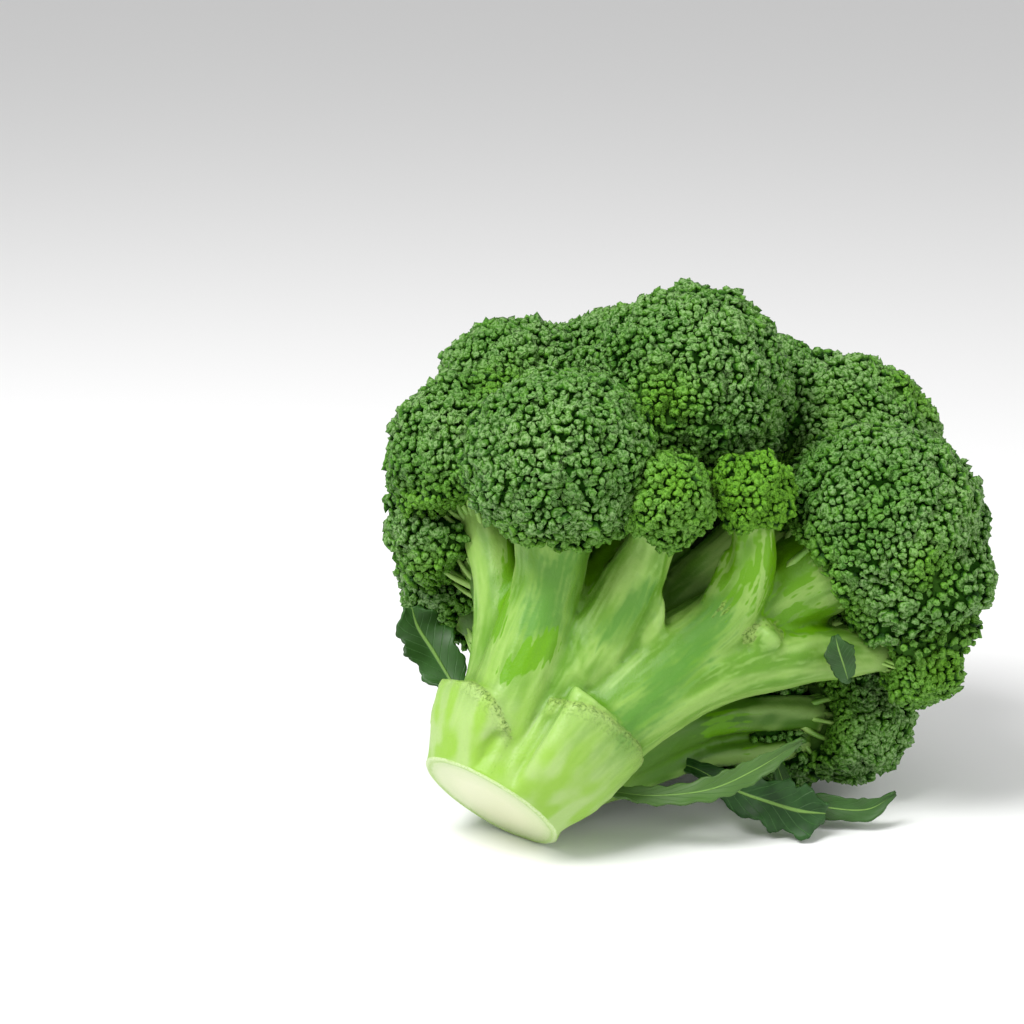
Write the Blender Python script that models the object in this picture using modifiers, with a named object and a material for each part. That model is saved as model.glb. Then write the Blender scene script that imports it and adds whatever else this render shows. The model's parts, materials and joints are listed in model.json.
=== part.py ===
"""A head of broccoli, cut from the plant and lying on its side.

Every shape is written in the growing frame, in millimetres: +Z runs up the stalk, the knife cut is
the plane Z = 0, and -Y is the open side of the head, where the branches show between the florets.
At the end all pieces are turned together, so that the head lies on the rim of its cut and on three
of its lower florets.
"""

import math

import bmesh
import bpy
import numpy as np
from mathutils import Matrix, Vector

MM = 0.001

# How the head lies: its own turn, how far the stalk leans from upright, and its heading
TWIST = math.radians(44.8)
LEAN = math.radians(46.6)
TURN = math.radians(-43.5)
# The surface that it lies on, as a plane this far from the cut's centre
REST_DEPTH = 12.6
# Where the cut's centre lies in the finished frame, so that the head is centred on its origin
PLACE = Vector((-48.5, -48.2, REST_DEPTH)) * MM

# The main stalk: height above the cut, and radius there
STALK = ((-8, 17.6), (4, 18.2), (16, 18.9), (28, 18.4), (38, 15.0), (50, 11.0), (60, 7.0))
# Butts of the leaves that were trimmed off: heading, height of the top edge, half-widths, reach
LEAF_BUTTS = (
    {"heading": 212, "top": 19.0, "wide": 12.5, "thick": 6.0, "reach": 16.5, "slope": 9},
    {"heading": 308, "top": 29.0, "wide": 14.5, "thick": 6.0, "reach": 16.8, "slope": 10},
    {"heading": 95, "top": 24.0, "wide": 13.0, "thick": 5.5, "reach": 15.0, "slope": 9},
)

# The florets: centre, radius of the dome, and the branch that carries it as points with a radius
FLORETS = {
    "floret_front_left": {
        "at": (-29, -37.5, 69.5), "r": 22.8,
        "branch": ((-7, -9, 14, 11), (-12, -15, 34, 9.5), (-17, -20, 50, 8.5)),
    },
    "floret_left": {
        "at": (-49.5, -10, 68.5), "r": 20,
        "branch": ((-9, -4, 12, 9.5), (-16, -6, 30, 7.5), (-26, -7, 46, 6.5), (-35, -6, 56, 6.5)),
    },
    "floret_left_upper": {
        "at": (-47.5, 4, 93), "r": 22.5,
        "branch": ((-10.5, 0, 20, 9), (-19.5, 1, 44, 7.5), (-31.5, 2, 68, 7.5)),
    },
    "floret_left_back": {
        "at": (-42, 8, 59.5), "r": 19.5,
        "branch": ((-5, 3, 16, 8.5), (-13, 5, 34, 6.5), (-26, 6, 48, 6)),
    },
    "floret_left_low": {
        "at": (-32.5, 28, 55.5), "r": 19.5,
        "branch": ((-3, 9, 12, 8.5), (-9, 17, 28, 6.5), (-19, 23, 42, 6)),
    },
    "floret_back_low": {
        "at": (-7.5, 50, 59), "r": 19.5,
        "branch": ((-2, 11, 12, 9), (-3.5, 25, 31.5, 7), (-5.5, 37, 45.5, 7)),
    },
    "floret_under": {
        "at": (19, 47, 56), "r": 18,
        "branch": ((5, 10, 10, 9), (10, 22, 26, 7), (15, 34, 41, 6.5)),
    },
    "floret_under_right": {
        "at": (50, 23, 62), "r": 19,
        "branch": ((10, 5, 10, 9), (23, 11, 29, 7.5), (36, 17, 46, 7)),
    },
    "floret_right_low": {
        "at": (68, 14, 71.5), "r": 18.5,
        "branch": ((10, 3, 12, 9.5), (22, 6, 26.5, 8), (36, 7.5, 45, 7.5), (52, 10, 59.5, 7)),
    },
    "floret_right_rim": {
        "at": (70.5, -15, 83.5), "r": 12.5,
        "branch": ((9.5, -8, 21.5, 12), (25.5, -14, 50.5, 10), (43, -15, 67, 8), (58.5, -15, 77.5, 5.5)),
    },
    "floret_right": {
        "at": (46, -25, 103.5), "r": 26.3,
        "branch": ((9, -8, 20, 12), (20, -14, 50, 11.5), (30, -15, 72, 10)),
    },
    "floret_right_back": {
        "at": (59.5, 12, 102), "r": 24,
        "branch": ((9, -2, 22.5, 10), (25, 2, 52, 8.5), (42, 7, 77, 8)),
    },
    "floret_front_top": {
        "at": (-12, -22, 110.5), "r": 25,
        "branch": ((0, -8, 22, 12), (-1, -11, 52, 11.5), (-5, -11, 82, 10)),
    },
    "floret_top_right": {
        "at": (31, 3, 127), "r": 26.5,
        "branch": ((4, -4, 25.5, 11), (12.5, -3, 58, 9.5), (21.5, 0, 89, 9)),
    },
    "floret_top_left": {
        "at": (-23, 6, 108.5), "r": 26.5,
        "branch": ((-4, -2, 25.5, 10), (-8.5, 0, 54.5, 8.5), (-15.5, 3, 81.5, 8)),
    },
    "floret_apex": {
        "at": (3.5, 10, 121.5), "r": 28,
        "branch": ((0, 0, 25.5, 12), (0.5, 3, 61, 10), (2, 7, 92.5, 9)),
    },
    "floret_top_back": {
        "at": (17, 30, 114), "r": 26.5,
        "branch": ((3, 4, 24, 10), (7.5, 13, 55, 8.5), (12.5, 22, 84.5, 8)),
    },
    "floret_back_right": {
        "at": (35.5, 36, 99), "r": 27.5,
        "branch": ((7, 6, 20, 10), (16.5, 16, 47.5, 8.5), (26.5, 26, 73, 8.5)),
    },
    "floret_back": {
        "at": (0.5, 44, 93.5), "r": 27,
        "branch": ((0, 8, 20, 10), (0.5, 20, 45.5, 8.5), (0.5, 32, 69, 8)),
    },
    "floret_back_left": {
        "at": (-31.5, 28, 93), "r": 27,
        "branch": ((-6, 5, 19.5, 10), (-13, 11, 45, 8.5), (-22.5, 19, 70, 8)),
    },
    "floret_small_left": {
        "at": (-4, -42, 73.5), "r": 12.5,
        "branch": ((2, -12, 37, 9.5), (1.5, -23.5, 55.5, 6.5), (-0.5, -33.5, 65.5, 4.5)),
    },
    "floret_small_right": {
        "at": (11.5, -40, 87), "r": 9.5,
        "branch": ((15.5, -16, 49.5, 9), (17, -24, 64.5, 6.5), (15, -33, 77, 4)),
    },
}

# Florets: buds are drawn about twice life size, and press against the next floret's buds
BUD_SPACING = 7.0
BUD_RISE = 1.2
BUD_SINK = 0.5
MOUND_SPACING = 15.0
MOUND_DEPTH = 2.6
UNDERSIDE = 0.78
PIECE_GAP = 0.5
ROOM = 0.8
FLAT_ANGLE = math.radians(2)
# The area of one cell of an even spread, for a spacing of 1
EVEN_CELL = 0.866
GOLDEN_ANGLE = math.pi * (3 - math.sqrt(5))

# Stalk: how finely the branches are fused, and how many triangles are left
FUSE_VOXEL = 1.6
FUSE_SMOOTHING = 3
BLANK_TRIANGLES = 5000
STALK_TRIANGLES = 3400
# How far a branch spreads under its floret, as a share of the floret's radius
FLARE = 0.52

# Leaves: the midrib's points, then half-widths along it, the edge and the blade's own turn
LEAVES = {
    "leaf_long": {
        "rib": ((24, -4, 17.5), (33, -7, 21.5), (43, -10, 29), (50, -12, 39), (56, -12, 51)),
        "wide": (1.6, 3.0, 3.8, 3.4, 0.5), "up": (0.25, -0.9, 0.35),
        "teeth": 9, "tooth": 0.22, "wave": 0.8,
    },
    "leaf_broad": {
        "rib": ((40, 4, 36), (50, 2, 36), (58, -1, 37), (65, -3, 38.5), (71, -3, 41.5)),
        "wide": (1.8, 6.5, 9.0, 9.5, 3.5), "up": (0.3, -0.9, -0.25),
        "teeth": 4, "tooth": 0.16, "wave": 1.5,
    },
    "leaf_curled": {
        "rib": ((56, 10, 50), (64, 8, 43.5), (72, 3, 45), (80, 0, 49), (84, -1, 56)),
        "wide": (1.5, 3.6, 4.4, 3.6, 0.4), "up": (0.2, -0.95, 0.1),
        "teeth": 3, "tooth": 0.10, "wave": 0.6,
    },
    "leaf_left": {
        "rib": ((-18, 8, 20), (-24, 11, 24), (-31, 12, 28), (-37, 12, 31), (-41, 10, 34)),
        "wide": (1.8, 6.0, 8.0, 7.0, 2.5), "up": (-0.3, -0.9, 0.2),
        "teeth": 4, "tooth": 0.14, "wave": 1.0,
    },
    "leaf_bract": {
        "rib": ((50, -22, 70), (53, -26, 72.5), (56, -29, 74), (60, -30, 75)),
        "wide": (1.4, 3.6, 3.8, 0.6), "up": (0.2, -0.8, -0.5),
        "teeth": 2, "tooth": 0.10, "wave": 0.4,
    },
}
LEAF_THICKNESS = 0.9
LEAF_STEPS = 14
LEAF_COLUMNS = 2

COLOURS = {
    "stalk": ((0.42, 0.62, 0.17), 0.42),
    "buds": ((0.05, 0.16, 0.045), 0.6),
    "leaf": ((0.045, 0.17, 0.07), 0.45),
}


def clear_scene():
    for obj in list(bpy.data.objects):
        bpy.data.objects.remove(obj)


def make_material(name):
    colour, roughness = COLOURS[name]
    material = bpy.data.materials.new(name)
    material.use_nodes = True
    shader = material.node_tree.nodes["Principled BSDF"]
    shader.inputs["Base Color"].default_value = (*colour, 1)
    shader.inputs["Roughness"].default_value = roughness
    return material


def make_object(name, mesh, collection, material=None):
    obj = bpy.data.objects.new(name, mesh)
    collection.objects.link(obj)
    if material:
        mesh.materials.append(material)
    return obj


def mesh_from(bm, name):
    """A mesh in metres from a bmesh in millimetres."""
    bmesh.ops.transform(bm, matrix=Matrix.Scale(MM, 4), verts=bm.verts)
    mesh = bpy.data.meshes.new(name)
    bm.to_mesh(mesh)
    bm.free()
    return mesh


def applied_mesh(obj):
    """The mesh that an object's modifiers make, in place of the object, which is removed."""
    graph = bpy.context.evaluated_depsgraph_get()
    mesh = bpy.data.meshes.new_from_object(obj.evaluated_get(graph))
    mesh.transform(obj.matrix_world)
    bpy.data.objects.remove(obj)
    return mesh


def down_in_growing_frame():
    """The unit vector that points down, at the surface, once the head lies as it is stored."""
    return pose_turn().to_3x3().inverted() @ Vector((0, 0, -1))


def pose_turn():
    return Matrix.Rotation(TURN, 4, "Z") @ Matrix.Rotation(-LEAN, 4, "X") @ Matrix.Rotation(TWIST, 4, "Z")


def even_directions(count):
    """Unit vectors spread evenly over a sphere, along a golden spiral."""
    step = np.arange(count) + 0.5
    z = 1 - 2 * step / count
    flat = np.sqrt(1 - z * z)
    angle = GOLDEN_ANGLE * step
    return np.stack([flat * np.cos(angle), flat * np.sin(angle), z], axis=1)


def points_over(radius, spacing):
    """How many evenly spread points a sphere takes at a spacing."""
    return round(4 * math.pi * radius**2 / (EVEN_CELL * spacing**2))


class Dome:
    """The star-shaped outline of one floret: how far its skin lies from its centre, each way."""

    def __init__(self, name):
        own = FLORETS[name]
        self.centre = np.array(own["at"], float)
        self.radius = own["r"]
        neck = self.centre - np.array(own["branch"][-1][:3], float)
        self.growth = neck / np.linalg.norm(neck)
        self.walls = [self.wall(other) for other in FLORETS.values() if other is not own]
        self.walls = [wall for wall in self.walls if wall]
        self.walls.append((-self.growth, UNDERSIDE * self.radius))
        mounds = max(6, points_over(self.radius, MOUND_SPACING))
        turn = Matrix.Rotation(self.centre.sum(), 3, Vector((1, 1, 0.3)).normalized())
        self.mounds = even_directions(mounds) @ np.array(turn)
        self.mound_angle = MOUND_SPACING / self.radius * 0.6

    def wall(self, other):
        """The plane between this floret and another that it presses against, or None."""
        across = np.array(other["at"], float) - self.centre
        apart = np.linalg.norm(across)
        if apart > self.radius + other["r"] + 2 * BUD_RISE:
            return None
        reach = (apart**2 + self.radius**2 - other["r"] ** 2) / (2 * apart)
        return across / apart, reach - PIECE_GAP / 2

    def skin(self, ways):
        """The distance to the skin below the buds, for an array of unit vectors."""
        near = np.arccos(np.clip((ways @ self.mounds.T).max(axis=1), -1, 1))
        return self.radius - MOUND_DEPTH * np.minimum(1, near / self.mound_angle) ** 2

    def limit(self, ways, far, swell):
        """far, held back by the walls between florets, which swell moves outwards."""
        for normal, reach in self.walls:
            facing = np.maximum(ways @ normal, 1e-6)
            far = np.minimum(far, (reach + swell) / facing)
        return far


def fan_of_buds(count):
    """A unit sphere in which each of count points is a peak with a ring of valleys round it."""
    bm = bmesh.new()
    for way in even_directions(count):
        bm.verts.new(way)
    bmesh.ops.convex_hull(bm, input=bm.verts)
    peaks = set(bm.verts)
    ridges = list(bm.edges)
    bmesh.ops.poke(bm, faces=bm.faces)
    bmesh.ops.rotate_edges(bm, edges=ridges, use_ccw=True)
    for vert in bm.verts:
        vert.tag = vert in peaks
    return bm


def make_floret(name, swell=0.0):
    """One floret as a bmesh: a dome covered in buds, with flat sides where others press on it.

    With swell, it is the room that the floret needs instead, larger by that much and without buds.
    """
    dome = Dome(name)
    bm = fan_of_buds(points_over(dome.radius, BUD_SPACING))
    ways = np.array([vert.co.normalized() for vert in bm.verts])
    peaks = np.array([vert.tag for vert in bm.verts])
    sink = 0 if swell else BUD_RISE + BUD_SINK
    raised = dome.skin(ways) + BUD_RISE + swell - np.where(peaks, 0, sink)
    held = dome.limit(ways, raised, swell)
    for vert, way, distance in zip(bm.verts, ways, held):
        vert.co = Vector(dome.centre + way * distance)
    pressed = held < raised
    bm.normal_update()
    bm.verts.index_update()
    flat = {edge for edge in bm.edges if all(pressed[vert.index] for vert in edge.verts)}
    inner = [vert for vert in bm.verts if flat.issuperset(vert.link_edges)]
    bmesh.ops.dissolve_limit(bm, angle_limit=FLAT_ANGLE, verts=inner, edges=list(flat))
    bmesh.ops.triangulate(bm, faces=bm.faces)
    bmesh.ops.recalc_face_normals(bm, faces=bm.faces)
    return bm


def tube(points, collection):
    """A closed round tube through (x, y, z, radius) points, as an object in metres."""
    curve = bpy.data.curves.new("branch", "CURVE")
    curve.dimensions = "3D"
    curve.bevel_depth = MM
    curve.bevel_resolution = 4
    curve.resolution_u = 6
    curve.use_fill_caps = True
    spline = curve.splines.new("BEZIER")
    spline.bezier_points.add(len(points) - 1)
    for knot, (x, y, z, radius) in zip(spline.bezier_points, points):
        knot.co = Vector((x, y, z)) * MM
        knot.radius = radius
        knot.handle_left_type = "AUTO"
        knot.handle_right_type = "AUTO"
    guide = bpy.data.objects.new("branch", curve)
    collection.objects.link(guide)
    bpy.context.view_layer.update()
    mesh = applied_mesh(guide)
    bm = bmesh.new()
    bm.from_mesh(mesh)
    bmesh.ops.remove_doubles(bm, verts=bm.verts, dist=1e-6)
    bm.to_mesh(mesh)
    bm.free()
    bpy.data.curves.remove(curve)
    return mesh


def leaf_butt(butt):
    """The broad foot of a trimmed leaf, which clasps the stalk and ends in a sloping step."""
    bm = bmesh.new()
    bmesh.ops.create_cone(
        bm, cap_ends=True, segments=20, radius1=0.62, radius2=1.0, depth=butt["top"] + 8,
        matrix=Matrix.Translation((0, 0, (butt["top"] - 8) / 2)),
    )
    heading = math.radians(butt["heading"])
    outward = Matrix.Rotation(heading, 4, "Z")
    lean = Matrix.Rotation(math.radians(butt["slope"]), 4, "Y")
    size = Matrix.Diagonal((butt["thick"], butt["wide"], 1, 1))
    shift = Matrix.Translation((butt["reach"], 0, 0))
    bmesh.ops.transform(bm, matrix=outward @ shift @ lean @ size, verts=bm.verts)
    bmesh.ops.recalc_face_normals(bm, faces=bm.faces)
    return mesh_from(bm, "butt")


def fuse(meshes, collection):
    """One smooth closed mesh from shapes that run into each other."""
    bm = bmesh.new()
    for mesh in meshes:
        bm.from_mesh(mesh)
        bpy.data.meshes.remove(mesh)
    joined = bpy.data.meshes.new("joined")
    bm.to_mesh(joined)
    bm.free()
    obj = make_object("joined", joined, collection)
    remesh = obj.modifiers.new("fuse", "REMESH")
    remesh.mode = "VOXEL"
    remesh.voxel_size = FUSE_VOXEL * MM
    smooth = obj.modifiers.new("blend", "SMOOTH")
    smooth.factor = 0.5
    smooth.iterations = FUSE_SMOOTHING
    return applied_mesh(obj)


def thinned(obj, triangles):
    """The object's mesh with fewer triangles, in place of the object."""
    graph = bpy.context.evaluated_depsgraph_get()
    mesh = obj.evaluated_get(graph).data
    corners = sum(len(face.vertices) - 2 for face in mesh.polygons)
    decimate = obj.modifiers.new("fewer", "DECIMATE")
    decimate.use_collapse_triangulate = True
    decimate.ratio = triangles / corners
    return applied_mesh(obj)


def cut_flat(mesh, point, normal):
    """Takes off what lies beyond a plane, and closes the cut."""
    bm = bmesh.new()
    bm.from_mesh(mesh)
    everything = bm.verts[:] + bm.edges[:] + bm.faces[:]
    made = bmesh.ops.bisect_plane(
        bm, geom=everything, plane_co=point, plane_no=normal, clear_outer=True, dist=1e-7
    )
    rim = [item for item in made["geom_cut"] if isinstance(item, bmesh.types.BMEdge)]
    if rim:
        bmesh.ops.edgeloop_fill(bm, edges=rim)
    bmesh.ops.triangulate(bm, faces=bm.faces)
    bmesh.ops.recalc_face_normals(bm, faces=bm.faces)
    bm.to_mesh(mesh)
    bm.free()


def largest_body(mesh):
    """Drops every loose scrap but the largest body."""
    bm = bmesh.new()
    bm.from_mesh(mesh)
    left = set(bm.verts)
    bodies = []
    while left:
        queue = [left.pop()]
        body = set(queue)
        while queue:
            for edge in queue.pop().link_edges:
                for vert in edge.verts:
                    if vert in left:
                        left.remove(vert)
                        body.add(vert)
                        queue.append(vert)
        bodies.append(body)
    bodies.sort(key=len)
    scraps = [vert for body in bodies[:-1] for vert in body]
    bmesh.ops.delete(bm, geom=scraps, context="VERTS")
    bmesh.ops.recalc_face_normals(bm, faces=bm.faces)
    bm.to_mesh(mesh)
    bm.free()


def make_stalk(collection, cutters, material, down):
    """The cut stalk with all its branches, ending just short of each floret's hollow."""
    meshes = [tube([(0, 0, z, r) for z, r in STALK], collection)]
    meshes += [leaf_butt(butt) for butt in LEAF_BUTTS]
    for floret in FLORETS.values():
        neck, centre = Vector(floret["branch"][-1][:3]), Vector(floret["at"])
        spread = centre - (centre - neck).normalized() * UNDERSIDE * floret["r"]
        flare = (*spread, FLARE * floret["r"])
        meshes.append(tube([*floret["branch"], flare], collection))
    mesh = fuse(meshes, collection)
    mesh = thinned(make_object("blank", mesh, collection), BLANK_TRIANGLES)
    obj = make_object("blank", mesh, collection)
    carve(obj, cutters.objects)
    mesh = thinned(obj, STALK_TRIANGLES)
    cut_flat(mesh, (0, 0, 0), (0, 0, -1))
    cut_flat(mesh, down * REST_DEPTH * MM, down)
    return finish(make_object("stalk", mesh, collection), collection, material)


def curve_through(points, count):
    """count points evenly along a smooth curve through the given ones."""
    knots = [Vector(p) for p in points]
    knots = [2 * knots[0] - knots[1], *knots, 2 * knots[-1] - knots[-2]]
    spans = len(knots) - 3
    made = []
    for step in range(count):
        place = step / (count - 1) * spans
        i = min(int(place), spans - 1)
        t = place - i
        a, b, c, d = knots[i : i + 4]
        made.append(
            0.5 * (2 * b + (c - a) * t + (2 * a - 5 * b + 4 * c - d) * t * t
                   + (3 * b - a - 3 * c + d) * t**3)
        )
    return made


def make_leaf(name, collection, material, down):
    """A blade on a midrib, with a toothed and waved edge."""
    leaf = LEAVES[name]
    rib = curve_through(leaf["rib"], LEAF_STEPS + 1)
    widths = np.interp(
        np.linspace(0, 1, LEAF_STEPS + 1), np.linspace(0, 1, len(leaf["wide"])), leaf["wide"]
    )
    up = Vector(leaf["up"]).normalized()
    bm = bmesh.new()
    bmesh.ops.create_grid(bm, x_segments=LEAF_COLUMNS, y_segments=LEAF_STEPS, size=0.5)
    for vert in bm.verts:
        across = vert.co.x * 2
        step = round((vert.co.y + 0.5) * LEAF_STEPS)
        ahead = rib[min(step + 1, LEAF_STEPS)] - rib[max(step - 1, 0)]
        side = ahead.cross(up).normalized()
        along = step / LEAF_STEPS
        tooth = 1 + leaf["tooth"] * math.sin(2 * math.pi * leaf["teeth"] * along)
        reach = widths[step] * across * (tooth if abs(across) > 0.9 else 1)
        wave = leaf["wave"] * across**2 * math.sin(5 * math.pi * along + across)
        vert.co = rib[step] + side * reach + up * (wave + 0.18 * abs(reach))
    bmesh.ops.triangulate(bm, faces=bm.faces)
    for vert in bm.verts:
        sunk = vert.co.dot(down) - (REST_DEPTH - LEAF_THICKNESS)
        if sunk > 0:
            vert.co -= sunk * down
    obj = make_object(name, mesh_from(bm, name), collection, material)
    solidify = obj.modifiers.new("thickness", "SOLIDIFY")
    solidify.thickness = LEAF_THICKNESS * MM
    solidify.offset = 0
    return obj


def carve(obj, cutters):
    """Takes the cutters out of an object, by a Boolean for each."""
    for cutter in cutters:
        cut = obj.modifiers.new(cutter.name, "BOOLEAN")
        cut.operation = "DIFFERENCE"
        cut.object = cutter
        cut.solver = "MANIFOLD"


def finish(obj, collection, material):
    """The object as plain geometry, in one piece, under the same name."""
    name = obj.name
    mesh = applied_mesh(obj)
    largest_body(mesh)
    mesh.materials.clear()
    return make_object(name, mesh, collection, material)


def make_stalk_room(stalk, cutters):
    """The room that the stalk needs, a little larger than the stalk."""
    room = make_object("stalk_room", stalk.data.copy(), cutters)
    swell = room.modifiers.new("swell", "DISPLACE")
    swell.strength = PIECE_GAP * MM
    swell.mid_level = 0
    room.hide_render = True
    room.display_type = "WIRE"
    return room


def pose_head(objects):
    """Lays the head down: all pieces hang on one empty, turned and moved into place."""
    empty = bpy.data.objects.new("broccoli_head", None)
    bpy.context.scene.collection.objects.link(empty)
    empty.matrix_world = Matrix.Translation(PLACE) @ pose_turn()
    for obj in objects:
        obj.parent = empty
        obj.data.shade_smooth()
        obj.data.set_sharp_from_angle(angle=math.radians(40))


def main():
    clear_scene()
    head = bpy.data.collections.new("broccoli_head")
    cutters = bpy.data.collections.new("cutters")
    for collection in (head, cutters):
        bpy.context.scene.collection.children.link(collection)
    materials = {name: make_material(name) for name in COLOURS}
    down = down_in_growing_frame()
    pieces = []
    for name in FLORETS:
        room = mesh_from(make_floret(name, ROOM), name)
        cutter = make_object(name + "_cutter", room, cutters)
        cutter.hide_render = True
        cutter.display_type = "WIRE"
        mesh = mesh_from(make_floret(name), name)
        cut_flat(mesh, down * REST_DEPTH * MM, down)
        pieces.append(make_object(name, mesh, head, materials["buds"]))
    bpy.context.view_layer.update()
    stalk = make_stalk(head, cutters, materials["stalk"], down)
    pieces.append(stalk)
    make_stalk_room(stalk, cutters)
    for name in LEAVES:
        blade = make_leaf(name, head, materials["leaf"], down)
        carve(blade, cutters.objects)
        pieces.append(finish(blade, head, materials["leaf"]))
    pose_head(pieces)


main()
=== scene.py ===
import json
import math

import bmesh
import bpy
import numpy as np
from mathutils import Matrix, Vector, noise

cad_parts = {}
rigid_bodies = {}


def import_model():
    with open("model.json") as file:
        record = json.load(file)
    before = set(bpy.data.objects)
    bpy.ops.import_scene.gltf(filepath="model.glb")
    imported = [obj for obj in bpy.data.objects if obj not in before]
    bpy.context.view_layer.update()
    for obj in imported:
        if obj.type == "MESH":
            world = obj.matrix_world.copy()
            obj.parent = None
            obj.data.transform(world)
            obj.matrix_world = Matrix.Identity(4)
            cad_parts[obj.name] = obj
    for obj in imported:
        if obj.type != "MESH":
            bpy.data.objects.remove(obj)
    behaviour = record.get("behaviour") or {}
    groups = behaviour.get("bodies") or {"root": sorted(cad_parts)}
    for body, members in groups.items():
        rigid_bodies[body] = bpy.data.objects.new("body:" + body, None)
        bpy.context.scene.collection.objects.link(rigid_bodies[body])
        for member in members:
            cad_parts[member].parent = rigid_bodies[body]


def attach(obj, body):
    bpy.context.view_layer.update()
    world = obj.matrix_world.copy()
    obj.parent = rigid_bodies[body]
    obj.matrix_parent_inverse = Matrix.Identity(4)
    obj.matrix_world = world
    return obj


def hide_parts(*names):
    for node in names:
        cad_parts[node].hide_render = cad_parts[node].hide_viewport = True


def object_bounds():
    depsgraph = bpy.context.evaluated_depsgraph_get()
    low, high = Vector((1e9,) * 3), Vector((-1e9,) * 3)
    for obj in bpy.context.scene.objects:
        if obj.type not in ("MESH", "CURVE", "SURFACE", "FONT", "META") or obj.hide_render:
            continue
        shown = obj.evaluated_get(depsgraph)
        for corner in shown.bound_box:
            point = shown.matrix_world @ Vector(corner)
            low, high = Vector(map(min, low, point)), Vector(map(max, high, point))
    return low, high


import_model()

cad_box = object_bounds()

# The head as it grew. Shapes below are in millimetres in the growing frame: +Z runs up the stalk
# from the knife cut at Z = 0, and -Y is the open side of the head. All are laid down by one matrix,
# which rests the head on the rim of its cut and on two of its lower florets.
MM = 0.001
TWIST = math.radians(44.8)
LEAN = math.radians(46.6)
TURN = math.radians(-43.5)
REST_DEPTH = 12.6
CUT_CENTRE = Vector((-0.0485, -0.0482, REST_DEPTH * MM))

laid_turn = (
    Matrix.Rotation(TURN, 4, "Z") @ Matrix.Rotation(-LEAN, 4, "X") @ Matrix.Rotation(TWIST, 4, "Z")
)
laid = Matrix.Translation(CUT_CENTRE) @ laid_turn @ Matrix.Scale(MM, 4)
down = laid_turn.to_3x3().inverted() @ Vector((0, 0, -1))

# The table and the light. A pale plain surface, one soft light from the upper left, a weaker one
# from the right and a bright room, seen by a long lens from a little above the table.
VIEW_HEIGHT = math.radians(15)
VIEW_DISTANCE = 0.681
LENS = 100
VIEW_OFFSET = (0.00527, 0.0697)

floor_mesh = bpy.data.meshes.new("table")
bm = bmesh.new()
bmesh.ops.create_grid(bm, x_segments=1, y_segments=1, size=6)
bm.to_mesh(floor_mesh)
bm.free()
floor = bpy.data.objects.new("table", floor_mesh)
bpy.context.scene.collection.objects.link(floor)
table_top = bpy.data.materials.new("table top")
table_top.use_nodes = True
surface = table_top.node_tree.nodes["Principled BSDF"]
surface.inputs["Base Color"].default_value = (0.86, 0.86, 0.86, 1)
surface.inputs["Roughness"].default_value = 0.6
floor_mesh.materials.append(table_top)

view_up = Vector((0, math.sin(VIEW_HEIGHT), math.cos(VIEW_HEIGHT)))
towards_viewer = Vector((0, -math.cos(VIEW_HEIGHT), math.sin(VIEW_HEIGHT)))
aim = CUT_CENTRE + Vector((VIEW_OFFSET[0], 0, 0)) + view_up * VIEW_OFFSET[1]
camera = bpy.data.objects.new("camera", bpy.data.cameras.new("camera"))
camera.data.lens = LENS
camera.matrix_world = (
    Matrix.Translation(aim + towards_viewer * VIEW_DISTANCE)
    @ Matrix.Rotation(math.pi / 2 - VIEW_HEIGHT, 4, "X")
)
bpy.context.scene.collection.objects.link(camera)
bpy.context.scene.camera = camera

room = bpy.data.worlds.new("room")
room.use_nodes = True
room.node_tree.nodes["Background"].inputs["Color"].default_value = (1, 1, 1, 1)
room.node_tree.nodes["Background"].inputs["Strength"].default_value = 0.62
bpy.context.scene.world = room
bpy.context.scene.view_settings.view_transform = "Standard"

LIGHTS = {
    "upper_left": ((-0.45, -0.43, 0.9), 0.5, 13.5),
    "right": ((0.8, -0.45, 0.5), 0.6, 3.5),
}
for light_name, (place, width, power) in LIGHTS.items():
    lamp = bpy.data.lights.new(light_name, "AREA")
    lamp.size = width
    lamp.energy = power
    light = bpy.data.objects.new(light_name, lamp)
    light.location = place
    light.rotation_euler = (Vector((0, 0, 0.06)) - Vector(place)).to_track_quat("-Z", "Y").to_euler()
    bpy.context.scene.collection.objects.link(light)

# The stalk with its branches, one living piece, cut through at the foot. Each branch runs up to a
# floret and spreads under it. The butts of three trimmed leaves clasp the foot, with rough, pitted
# edges where they broke off.
STALK = ((-8, 17.6), (4, 18.2), (16, 18.9), (28, 18.4), (38, 15.0), (50, 11.0), (60, 7.0))
LEAF_BUTTS = (
    {"heading": 212, "top": 19.0, "wide": 12.5, "thick": 6.0, "reach": 16.5, "slope": 9},
    {"heading": 308, "top": 29.0, "wide": 14.5, "thick": 6.0, "reach": 16.8, "slope": 10},
    {"heading": 95, "top": 24.0, "wide": 13.0, "thick": 5.5, "reach": 15.0, "slope": 9},
)
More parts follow.
